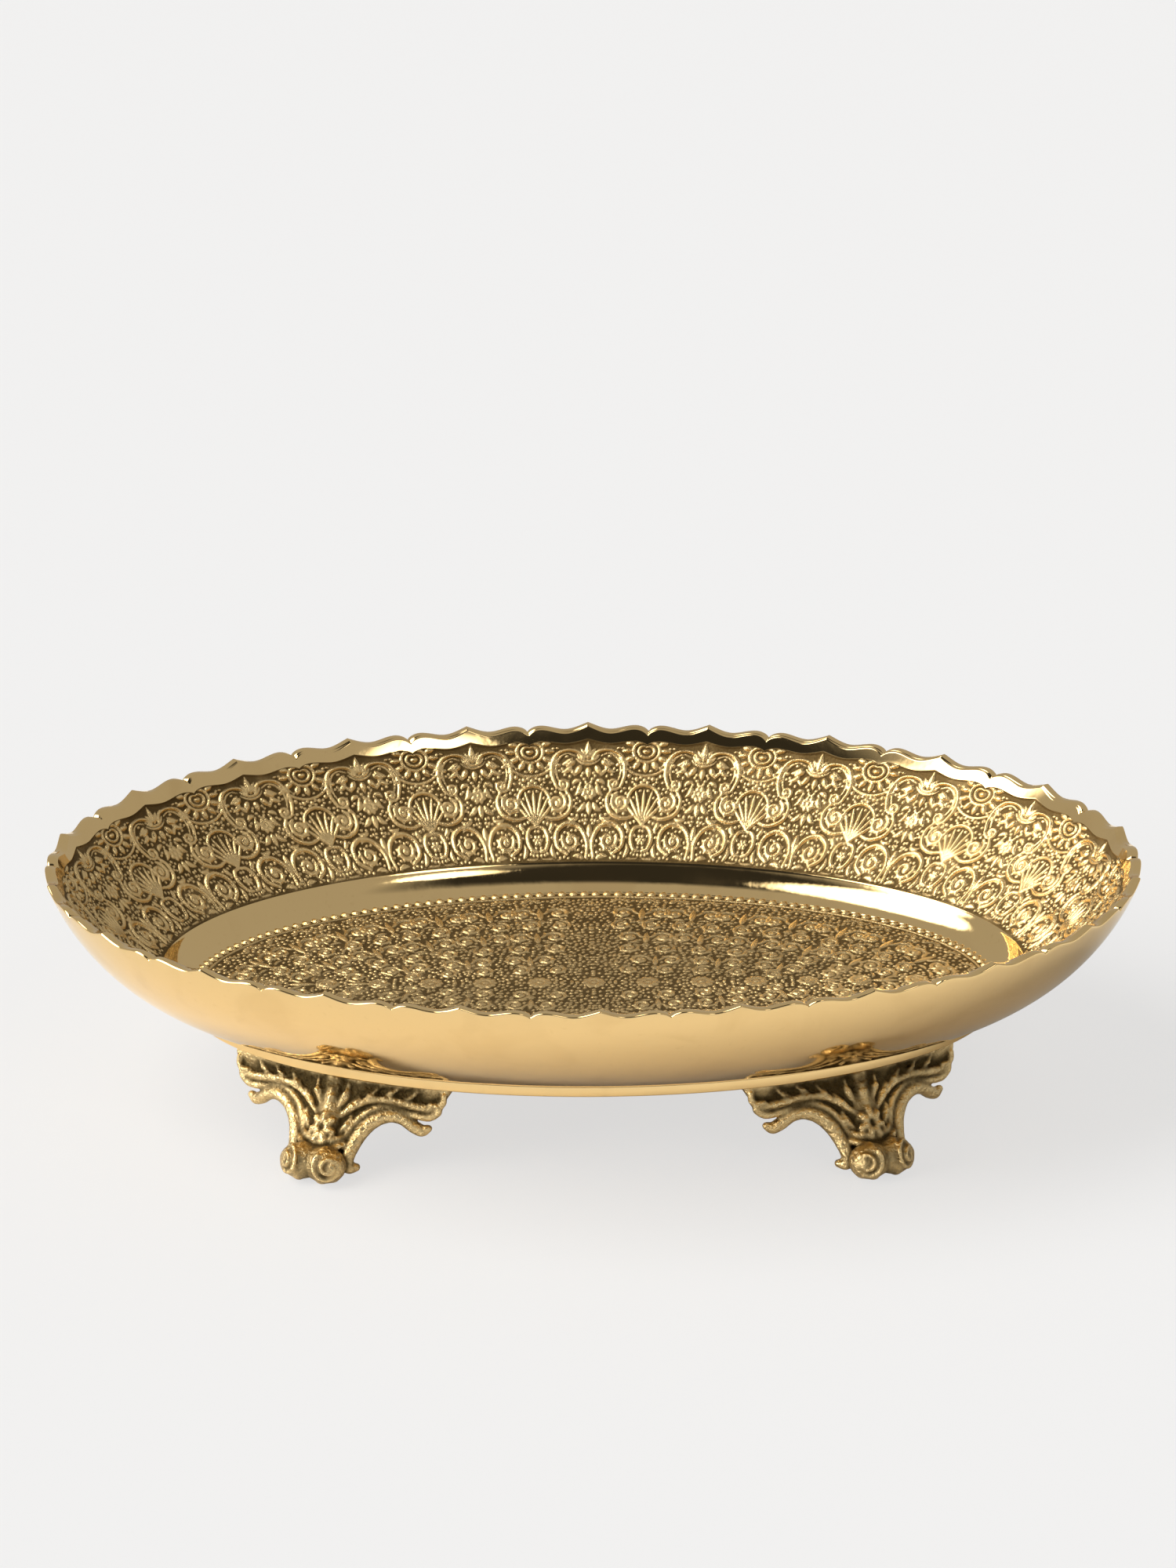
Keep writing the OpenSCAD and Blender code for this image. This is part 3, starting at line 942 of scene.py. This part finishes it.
# %% Parts of the heap
class Heap:
    """Closed shapes that overlap, gathered before they are fused."""

    def __init__(self):
        self.points, self.faces, self.count = [], [], 0

    def gather(self, points, faces):
        self.points.append(np.array(points, float))
        self.faces += [tuple(int(k) + self.count for k in face) for face in faces]
        self.count += len(points)

    def rod(self, curve, radii, sides=14, flat=1.0):
        """A round rod along a curve, with domed ends. flat below 1 squashes it towards the plate."""
        curve = np.array(curve, float)
        radii = np.broadcast_to(np.array(radii, float), len(curve))
        along = np.gradient(curve, axis=0)
        along /= np.maximum(np.linalg.norm(along, axis=1), 1e-9)[:, None]
        for end, way, at in ((0, -1, 0), (-1, 1, None)):
            tip, heading, radius = curve[end], along[end] * way, radii[end]
            for angle in np.radians((35, 65, 84)):
                point = tip + heading * radius * math.sin(angle)
                size = radius * math.cos(angle)
                if at == 0:
                    curve, radii = np.vstack([point, curve]), np.concatenate([[size], radii])
                    along = np.vstack([-heading, along])
                else:
                    curve, radii = np.vstack([curve, point]), np.concatenate([radii, [size]])
                    along = np.vstack([along, heading])
        out = np.array([0.0, 1.0, 0.0]) - along * along[:, 1:2]
        weak = np.linalg.norm(out, axis=1) < 0.2
        out[weak] = np.array([0.0, 0.0, 1.0]) - along[weak] * along[weak, 2:3]
        out /= np.linalg.norm(out, axis=1)[:, None]
        across = np.cross(along, out)
        turn = np.linspace(0, 2 * math.pi, sides, endpoint=False)
        rings = (
            curve[:, None] + radii[:, None, None] * (
                np.cos(turn)[None, :, None] * across[:, None]
                + flat * np.sin(turn)[None, :, None] * out[:, None]
            )
        )
        faces = []
        for n in range(len(curve) - 1):
            for k in range(sides):
                after = (k + 1) % sides
                faces.append((n * sides + k, n * sides + after, (n + 1) * sides + after, (n + 1) * sides + k))
        faces.append(tuple(range(sides))[::-1])
        faces.append(tuple((len(curve) - 1) * sides + k for k in range(sides)))
        self.gather(rings.reshape(-1, 3), faces)

    def scroll(self, waypoints, radii, lift=0.8, flat=1.0, both=True):
        """A rod laid on the plate through waypoints, on both sides of the foot."""
        curve = through(waypoints, 60)
        size = np.interp(np.linspace(0, 1, len(curve)), np.linspace(0, 1, len(radii)), radii)
        for side in ((1, -1) if both else (1,)):
            self.rod(on_plate(curve * np.array([side, 1]), lift), size, flat=flat)

    def slab(self, half_outline, thick, rows_down=22):
        """The scroll plate: its lower edge is given as depth for each distance from the middle."""
        reach, lowest = np.array(half_outline, float).T
        u = np.linspace(-reach[-1], reach[-1], 97)
        edge = np.interp(np.abs(u), reach, lowest)
        share = np.linspace(0, 1, rows_down)
        flat_u = np.repeat(u[:, None], rows_down, 1)
        depth = edge[:, None] * share[None, :]
        front = front_of_plate(flat_u, depth)
        z = FOOT_TOP - depth
        face = np.stack([flat_u, front, z], -1).reshape(-1, 3)
        back = np.stack([flat_u, front - thick, z], -1).reshape(-1, 3)
        size = len(face)

        def at(i, j):
            return i * rows_down + j

        faces = []
        for i in range(len(u) - 1):
            for j in range(rows_down - 1):
                a, b, c, d = at(i, j), at(i + 1, j), at(i + 1, j + 1), at(i, j + 1)
                faces.append((a, d, c, b))
                faces.append((a + size, b + size, c + size, d + size))
            for j in (0, rows_down - 1):
                a, b = at(i, j), at(i + 1, j)
                faces.append((a, b, b + size, a + size) if j == 0 else (b, a, a + size, b + size))
        for i in (0, len(u) - 1):
            for j in range(rows_down - 1):
                a, d = at(i, j), at(i, j + 1)
                faces.append((d, a, a + size, d + size) if i == 0 else (a, d, d + size, a + size))
        self.gather(np.vstack([face, back]), faces)


print("foot frame ready")

# %% Lay up one foot
PLATE_EDGE = (
    (0, 27), (7, 26.5), (9.5, 24), (10.5, 19), (13, 14.6), (17, 12), (22, 11.2), (27, 12.4), (31, 10.6),
    (35, 7.4), (38, 2.5),
)
foot_heap = Heap()
foot_heap.slab(PLATE_EDGE, PLATE_THICK)
leg_line = through([(0, 3), (0, 10), (0, 17), (0, 22)], 30)
foot_heap.rod(on_plate(leg_line, -5.4), np.linspace(6.2, 6.0, len(leg_line)))

c_scroll = [
    (31.6, 14.6), (29.6, 15.4), (27.0, 14.2), (24.0, 11.9), (20.0, 10.9), (15.6, 12.3), (12.2, 15.4),
    (10.2, 19.4), (9.4, 23.4), (10.2, 26.0), (12.0, 26.2),
]
foot_heap.scroll(c_scroll, (1.4, 2.1, 2.2, 2.2, 2.3, 2.4, 2.5, 2.4, 2.2, 1.9, 1.5), 0.8)
inner_band = [(28.0, 11.0), (23.5, 8.6), (17.6, 8.2), (12.0, 10.6), (8.6, 14.6), (6.8, 19.4)]
foot_heap.scroll(inner_band, (0.7, 1.0, 1.1, 1.2, 1.2, 0.9), 0.5)
long_leaf = [(8.0, 9.2), (13.0, 6.4), (20.0, 5.8), (27.0, 7.0), (33.2, 7.6), (36.2, 5.4), (36.6, 2.6)]
foot_heap.scroll(long_leaf, (0.8, 1.3, 1.5, 1.6, 1.5, 1.2, 0.9), 0.4)
curled_leaf = [(22.0, 8.6), (27.6, 10.2), (32.0, 10.4), (34.8, 8.4), (34.4, 6.4), (32.4, 6.2)]
foot_heap.scroll(curled_leaf, (0.7, 1.2, 1.5, 1.4, 1.1, 0.8), 0.9)
for place, tip, size in (
    ((4.0, 12.0), (9.6, 6.0), 1.5), ((3.0, 9.5), (5.4, 2.6), 1.5), ((9.5, 7.5), (15.0, 2.8), 1.3),
    ((16.0, 5.6), (21.5, 2.2), 1.1), ((23.0, 5.6), (28.0, 2.4), 1.0), ((5.0, 16.5), (8.0, 11.5), 1.2),
):
    between = ((place[0] + tip[0]) / 2 + 0.6, (place[1] + tip[1]) / 2)
    foot_heap.scroll([place, between, tip], (0.6, size, 0.4), 0.3)
foot_heap.scroll([(0, 10.5), (0, 6.5), (0, 2.4)], (1.7, 2.0, 0.7), 0.3, both=False)

# The flower: seven round petals about a hollow eye, with two leaves below it
for k in range(7):
    angle = math.radians(90 + k * 360 / 7)
    root = np.array([0, 14.6])
    way = np.array([math.cos(angle), -math.sin(angle)])
    foot_heap.scroll([root + way * 1.8, root + way * 3.6], (1.4, 1.2), 1.9, both=False)
foot_heap.scroll([(0.6, 19.6), (3.6, 17.6), (6.2, 18.6)], (1.0, 1.4, 0.9), 1.0)

# The collar and the toe
for depth, radius, size in ((18.4, 6.2, 1.2), (20.0, 7.2, 1.1)):
    turn = np.radians(np.linspace(200, 340, 30))
    middle = on_plate([(0, depth)], -5.2)[0]
    curve = np.column_stack([
        middle[0] + radius * 1.15 * np.cos(turn), middle[1] - radius * np.sin(turn),
        np.full(len(turn), middle[2]) + 1.0 * np.abs(np.cos(turn)),
    ])
    foot_heap.rod(curve, size)
TOE_CENTRE = np.array([0.0, TOE_REACH, 6.1])
LOBE_OUT = 3.9
for side in (-1, 1):
    lobe = TOE_CENTRE + (side * LOBE_OUT, -0.5, 0)
    roll = np.array([[side * reach_out, 0.0, 0.0] for reach_out in (-1.4, 0.0, 1.4)])
    foot_heap.rod(lobe + roll, (5.6, 6.4, 5.9), sides=40)
    facing = np.array([side * 0.62, 0.74, 0.26])
    facing /= np.linalg.norm(facing)
    level_way = np.cross(facing, (0.0, 0.0, 1.0))
    level_way /= np.linalg.norm(level_way)
    upward = np.cross(level_way, facing)
    t = np.linspace(0, 1, 70)
    angle = math.radians(60) + side * 1.6 * 2 * math.pi * t
    radius = 5.2 - 3.7 * t ** 0.9
    height_over = np.sqrt(6.5 ** 2 - radius ** 2) + 0.1
    ridge = (
        height_over[:, None] * facing + radius[:, None] * np.cos(angle)[:, None] * level_way
        + radius[:, None] * np.sin(angle)[:, None] * upward
    )
    foot_heap.rod(lobe + ridge, 0.72 - 0.25 * t, sides=10)
print("shapes in the heap:", foot_heap.count, "points")


# %% Fuse the heap into one skin
VOXEL = 0.42


def fused(heap, size):
    """One closed skin round everything in the heap."""
    mesh = bpy.data.meshes.new("foot_heap")
    mesh.from_pydata([tuple(p) for p in np.vstack(heap.points)], [], heap.faces)
    holder = bpy.data.objects.new("foot_heap", mesh)
    bpy.context.scene.collection.objects.link(holder)
    remesh = holder.modifiers.new("fuse", "REMESH")
    remesh.mode = "VOXEL"
    remesh.voxel_size = size
    evaluated = holder.evaluated_get(bpy.context.evaluated_depsgraph_get())
    skin = evaluated.to_mesh()
    points = np.empty(len(skin.vertices) * 3, np.float32)
    skin.vertices.foreach_get("co", points)
    quads = np.array([tuple(face.vertices) for face in skin.polygons])
    evaluated.to_mesh_clear()
    bpy.data.objects.remove(holder)
    bpy.data.meshes.remove(mesh)
    return points.reshape(-1, 3).astype(float), quads


def averaged(values, edges, count, times):
    """Evens values out over neighbouring points."""
    joined = np.bincount(edges.ravel(), minlength=count).astype(float)
    for _ in range(times):
        total = np.zeros_like(values)
        for axis in range(values.shape[1]):
            total[:, axis] = (
                np.bincount(edges[:, 0], values[edges[:, 1], axis], count)
                + np.bincount(edges[:, 1], values[edges[:, 0], axis], count)
            )
        values = 0.5 * values + 0.5 * total / joined[:, None]
    return values


def point_normals(points, quads):
    across = np.cross(points[quads[:, 2]] - points[quads[:, 0]], points[quads[:, 3]] - points[quads[:, 1]])
    normals = np.zeros_like(points)
    for corner in range(4):
        for axis in range(3):
            normals[:, axis] += np.bincount(quads[:, corner], across[:, axis], len(points))
    return normals / np.maximum(np.linalg.norm(normals, axis=1), 1e-9)[:, None]


foot_points, foot_quads = fused(foot_heap, VOXEL)
quad_sides = np.vstack([foot_quads[:, [n, (n + 1) % 4]] for n in range(4)])
foot_edges = np.unique(np.sort(quad_sides, axis=1), axis=0)
foot_points = averaged(foot_points, foot_edges, len(foot_points), 3)
print("skin points:", len(foot_points), "faces:", len(foot_quads))

# %% Roughen it like sand casting, measure what stands out, and paint shade under the ring
even = averaged(foot_points, foot_edges, len(foot_points), 60)
outward = point_normals(foot_points, foot_quads)
foot_height_and_shade = ((foot_points - even) * outward).sum(axis=1)
depth_down = FOOT_TOP - foot_points[:, 2]
pitted = np.array([
    noise.fractal(Vector(p) * 0.55, 0.8, 2.0, 4) for p in foot_points
])
# Just under the ring, on the foot's front, the cast skin is pitted deeper and the height is lowered, so the
# patina goes dark there: the pitting is real, and the darkening is painted shade under the ring.
rough_and_shaded_top = smooth((8.5 - depth_down) / 6) * smooth((foot_points[:, 1] + 4.5) / 2)
roughness_of_place = 0.06 + 0.5 * rough_and_shaded_top
foot_height_and_shade = foot_height_and_shade - 0.35 * rough_and_shaded_top
foot_points = foot_points + outward * (pitted * roughness_of_place)[:, None]
foot_points[:, 2] = np.clip(foot_points[:, 2], 0, FOOT_TOP - 0.02)
print("raised from", foot_height_and_shade.min().round(2), "to", foot_height_and_shade.max().round(2), "mm")

# %% Place the four feet
FOOT_EDGE = RING_HALF - 1.5
FOOT_ANGLE = math.radians(39.5 - 90)
foot_place = np.array([FOOT_EDGE * math.cos(FOOT_ANGLE), (FOOT_EDGE - SIDE_INSET) * math.sin(FOOT_ANGLE)])
foot_turn = math.atan2((FOOT_EDGE - SIDE_INSET) * math.cos(FOOT_ANGLE), -FOOT_EDGE * math.sin(FOOT_ANGLE))
along_ring = np.array([math.cos(foot_turn), math.sin(foot_turn)])
out_of_ring = np.array([math.sin(foot_turn), -math.cos(foot_turn)])

# The lug behind the plate, under the ring, takes the two screws.
LUG_THICK = 3.0
LUG_REACH = 22.0
LUG_HALF = 22.0


def lug_outline():
    """Rounded outline of the lug, in u and v."""
    corner = 4.0
    for u, v, start in (
        (LUG_HALF - corner, -2.0, 0), (-LUG_HALF + corner, -2.0, 90),
        (-LUG_HALF + corner, -LUG_REACH + corner, 180), (LUG_HALF - corner, -LUG_REACH + corner, 270),
    ):
        for angle in np.radians(start + np.linspace(0, 90, 7)):
            yield u + corner * math.cos(angle), v + (corner if v < -2.5 else 0.6) * math.sin(angle)


outline = np.array(list(lug_outline()))
outline[:, 1] -= outline[:, 0] ** 2 / (2 * RING_CURVE)
lug_levels = (
    (0.35, FOOT_TOP - LUG_THICK), (0.0, FOOT_TOP - LUG_THICK + 0.35),
    (0.0, FOOT_TOP - 0.35), (0.35, FOOT_TOP - 0.02),
)
lug_middle = outline.mean(axis=0)
lug_points, lug_quads = [], []
for shrink, z in lug_levels:
    inward = (lug_middle - outline) / np.linalg.norm(lug_middle - outline, axis=1)[:, None]
    lug_points.append(np.column_stack([outline + inward * shrink, np.full(len(outline), z)]))
rim_count = len(outline)
for n in range(len(lug_levels) - 1):
    first, second = n * rim_count + np.arange(rim_count), (n + 1) * rim_count + np.arange(rim_count)
    lug_quads.append(ring_faces(first, second)[0])
lug_points = np.vstack(lug_points + [[[*lug_middle, lug_levels[0][1]]], [[*lug_middle, lug_levels[-1][1]]]])
below, above = len(lug_points) - 2, len(lug_points) - 1
ring_of = np.arange(rim_count)
top_ring = (len(lug_levels) - 1) * rim_count + ring_of
lug_caps = np.vstack([
    np.column_stack([np.roll(ring_of, -1), ring_of, np.full(rim_count, below)]),
    np.column_stack([top_ring, np.roll(top_ring, -1), np.full(rim_count, above)]),
])

both_points = np.vstack([foot_points, lug_points])
both_quads = np.vstack([foot_quads] + [q + len(foot_points) for q in lug_quads])
both_triangles = lug_caps + len(foot_points)
both_height_and_shade = np.concatenate([foot_height_and_shade, np.full(len(lug_points), -0.05)])
feet = []
mirrors = (("front_right", 1, 1), ("front_left", -1, 1), ("rear_right", 1, -1), ("rear_left", -1, -1))
for name, sx, sy in mirrors:
    placed = np.column_stack([
        foot_place + both_points[:, :1] * along_ring + both_points[:, 1:2] * out_of_ring, both_points[:, 2],
    ]) * (sx, sy, 1)
    flip = sx * sy < 0
    four = both_quads[:, ::-1] if flip else both_quads
    three = both_triangles[:, ::-1] if flip else both_triangles
    mesh = mesh_from(
        f"scroll_foot_{name}", placed * MM, four, three, np.zeros(len(four), int), np.zeros(len(three), int)
    )
    height = mesh.attributes.new("raised", "FLOAT", "POINT")
    height.data.foreach_set("value", both_height_and_shade.astype(np.float32))
    foot = bpy.data.objects.new(f"scroll_foot_{name}", mesh)
    bpy.context.scene.collection.objects.link(foot)
    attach(foot, "root")
    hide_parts(f"foot_{name}")
    feet.append(foot)
print("faces of a foot:", len(mesh.polygons))

# %% [markdown]
# ## Finishes
# Buffed brass is never quite even: fingers leave dull smudges, and polishing leaves faint lines.
# The chased inside and the feet were darkened and then wiped, so the colour follows the height of
# the relief. The height is stored on the meshes, which is more exact than guessing it from the
# bend of the surface. On the feet the height is also lowered just under the ring, which paints
# shade there.


# %% Effects that the finishes share
def new_group(name, inputs, outputs):
    """An empty node group. inputs and outputs are pairs of a name and a kind of socket."""
    group = bpy.data.node_groups.new(name, "ShaderNodeTree")
    for label, kind, *value in inputs:
        socket = group.interface.new_socket(label, in_out="INPUT", socket_type=kind)
        if value:
            socket.default_value = value[0]
    for label, kind in outputs:
        group.interface.new_socket(label, in_out="OUTPUT", socket_type=kind)
    return group, group.nodes.new("NodeGroupInput"), group.nodes.new("NodeGroupOutput")


def noise_at(tree, where, scale, detail=3.0, distortion=0.0):
    return add(
        tree, "ShaderNodeTexNoise", Vector=where, Scale=scale, Detail=detail, Distortion=distortion
    ).outputs[0]


def mixed(tree, share, first, second):
    made = add(tree, "ShaderNodeMix", {"data_type": "RGBA"}, i0=share)
    for key, value in ((6, first), (7, second)):
        if isinstance(value, bpy.types.NodeSocket):
            tree.links.new(value, made.inputs[key])
        else:
            made.inputs[key].default_value = value
    return made.outputs[2]


# Handling: soft smudges and faint polishing lines, as one number to add to the roughness
handling, given, result = new_group(
    "handling",
    [("Smudges", "NodeSocketFloat", 0.05), ("Lines", "NodeSocketFloat", 0.02)],
    [("Roughness", "NodeSocketFloat"), ("Smudge", "NodeSocketFloat")],
)
where = add(handling, "ShaderNodeTexCoord").outputs["Object"]
cloud = ramp(handling, noise_at(handling, where, 42.0, 4.0, 0.8), 0.46, 0.72)
spots = ramp(handling, noise_at(handling, where, 420.0, 2.0), 0.62, 0.75, 0.0, 0.5)
smudge = maths(handling, "MAXIMUM", cloud, spots)
stretched = add(handling, "ShaderNodeMapping", {"vector_type": "POINT"}, i0=where)
stretched.inputs["Scale"].default_value = (90.0, 90.0, 2600.0)
lines = ramp(handling, noise_at(handling, stretched.outputs[0], 1.0, 2.0), 0.55, 0.8)
total_roughness = maths(
    handling, "ADD", maths(handling, "MULTIPLY", smudge, given.outputs["Smudges"]),
    maths(handling, "MULTIPLY", lines, given.outputs["Lines"]),
)
handling.links.new(total_roughness, result.inputs["Roughness"])
handling.links.new(smudge, result.inputs["Smudge"])

# Patina: from a dark ground to wiped metal, by height, with blotches that break up the edge
patina, given, result = new_group(
    "patina",
    [
        ("Height", "NodeSocketFloat", 0.0), ("Dark Below", "NodeSocketFloat", 0.05),
        ("Bright Above", "NodeSocketFloat", 0.4), ("Blotches", "NodeSocketFloat", 0.1),
        ("Metal", "NodeSocketColor", (0.8, 0.6, 0.3, 1)), ("Ground", "NodeSocketColor", (0.1, 0.07, 0.03, 1)),
    ],
    [("Color", "NodeSocketColor"), ("Wiped", "NodeSocketFloat")],
)
where = add(patina, "ShaderNodeTexCoord").outputs["Object"]
blotch = maths(patina, "SUBTRACT", noise_at(patina, where, 110.0, 5.0), 0.5)
uneven = maths(patina, "MULTIPLY_ADD", blotch, given.outputs["Blotches"], given.outputs["Height"])
wiped = add(patina, "ShaderNodeMapRange", {"interpolation_type": "SMOOTHSTEP"}, Value=uneven)
patina.links.new(given.outputs["Dark Below"], wiped.inputs["From Min"])
patina.links.new(given.outputs["Bright Above"], wiped.inputs["From Max"])
colour = mixed(patina, wiped.outputs[0], given.outputs["Ground"], given.outputs["Metal"])
patina.links.new(colour, result.inputs["Color"])
patina.links.new(wiped.outputs[0], result.inputs["Wiped"])

# Cast grain: the fine pebbled skin that sand leaves, as a normal
cast_grain, given, result = new_group(
    "cast_grain",
    [("Scale", "NodeSocketFloat", 900.0), ("Depth", "NodeSocketFloat", 0.0002)],
    [("Normal", "NodeSocketVector"), ("Pits", "NodeSocketFloat")],
)
where = add(cast_grain, "ShaderNodeTexCoord").outputs["Object"]
grain = noise_at(cast_grain, where, 1.0, 4.0)
cast_grain.links.new(given.outputs["Scale"], grain.node.inputs["Scale"])
pits = ramp(cast_grain, grain, 0.35, 0.62)
bump = add(cast_grain, "ShaderNodeBump", Strength=1.0, Height=pits)
cast_grain.links.new(given.outputs["Depth"], bump.inputs["Distance"])
cast_grain.links.new(bump.outputs[0], result.inputs["Normal"])
cast_grain.links.new(pits, result.inputs["Pits"])
print("node groups:", [group.name for group in bpy.data.node_groups])


# %% Polished brass
def new_material(name):
    material = bpy.data.materials.new(name)
    return material, new_tree(material)


def use_group(tree, group, **inputs):
    return add(tree, "ShaderNodeGroup", {"node_tree": group}, **inputs)


def finish_material(tree, colour, roughness, normal=None):
    """A metal surface with the given colour, roughness and normal."""
    metal = add(tree, "ShaderNodeBsdfPrincipled", Metallic=1.0, Base_Color=colour, Roughness=roughness)
    if normal:
        tree.links.new(normal, metal.inputs["Normal"])
    end = add(tree, "ShaderNodeOutputMaterial")
    tree.links.new(metal.outputs[0], end.inputs["Surface"])


BRASS = (0.90, 0.645, 0.295, 1)
TARNISH = (0.74, 0.50, 0.21, 1)
polished_brass, tree = new_material("polished_brass")
wear = use_group(tree, handling, Smudges=0.05, Lines=0.02)
tint = mixed(tree, maths(tree, "MULTIPLY", wear.outputs["Smudge"], 0.35), BRASS, TARNISH)
gloss = maths(tree, "ADD", wear.outputs["Roughness"], 0.055)
skin = use_group(tree, cast_grain, Scale=55.0, Depth=0.00004)
finish_material(tree, tint, gloss, skin.outputs["Normal"])

# %% Chased brass
chased_brass, tree = new_material("chased_brass")
height = add(tree, "ShaderNodeAttribute", {"attribute_name": "raised"}).outputs["Fac"]
stain = use_group(
    tree, patina, Height=height, Dark_Below=-0.02, Bright_Above=0.34, Blotches=0.35,
    Metal=(0.80, 0.575, 0.265, 1), Ground=(0.14, 0.09, 0.033, 1),
)
dull = ramp(tree, stain.outputs["Wiped"], 0.0, 1.0, 0.62, 0.24)
wear = use_group(tree, handling, Smudges=0.10, Lines=0.02)
skin = use_group(tree, cast_grain, Scale=1500.0, Depth=0.00006)
gloss = maths(tree, "ADD", dull, wear.outputs["Roughness"])
finish_material(tree, stain.outputs["Color"], gloss, skin.outputs["Normal"])

# %% Rough underside and cast feet
underside_brass, tree = new_material("underside_brass")
wear = use_group(tree, handling, Smudges=0.12, Lines=0.06)
tint = mixed(tree, wear.outputs["Smudge"], (0.62, 0.45, 0.22, 1), (0.40, 0.27, 0.11, 1))
skin = use_group(tree, cast_grain, Scale=800.0, Depth=0.0003)
finish_material(tree, tint, maths(tree, "ADD", wear.outputs["Roughness"], 0.45), skin.outputs["Normal"])

cast_brass, tree = new_material("cast_brass")
# On the feet the stored height is lowered just under the ring, so this patina also carries painted shade
# there.
height = add(tree, "ShaderNodeAttribute", {"attribute_name": "raised"}).outputs["Fac"]
stain = use_group(
    tree, patina, Height=height, Dark_Below=-0.45, Bright_Above=0.45, Blotches=0.7,
    Metal=(0.74, 0.555, 0.27, 1), Ground=(0.07, 0.048, 0.018, 1),
)
wear = use_group(tree, handling, Smudges=0.10, Lines=0.05)
dull = ramp(tree, stain.outputs["Wiped"], 0.0, 1.0, 0.60, 0.24)
skin = use_group(tree, cast_grain, Scale=700.0, Depth=0.00022)
gloss = maths(tree, "ADD", dull, wear.outputs["Roughness"])
finish_material(tree, stain.outputs["Color"], gloss, skin.outputs["Normal"])

# %% Screw brass, and giving out the finishes
screw_brass, tree = new_material("screw_brass")
wear = use_group(tree, handling, Smudges=0.15, Lines=0.10)
tint = mixed(tree, wear.outputs["Smudge"], (0.74, 0.57, 0.29, 1), (0.45, 0.32, 0.14, 1))
skin = use_group(tree, cast_grain, Scale=2200.0, Depth=0.00005)
finish_material(tree, tint, maths(tree, "ADD", wear.outputs["Roughness"], 0.28), skin.outputs["Normal"])

for material in (polished_brass, chased_brass, underside_brass):
    bowl_mesh.materials.append(material)
base_ring_mesh.materials.append(polished_brass)
for foot in feet:
    foot.data.materials.append(cast_brass)
for node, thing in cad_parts.items():
    if node.startswith(("screw_", "washer_")):
        thing.data.materials.clear()
        thing.data.materials.append(screw_brass)
print("materials:", [material.name for material in bpy.data.materials])
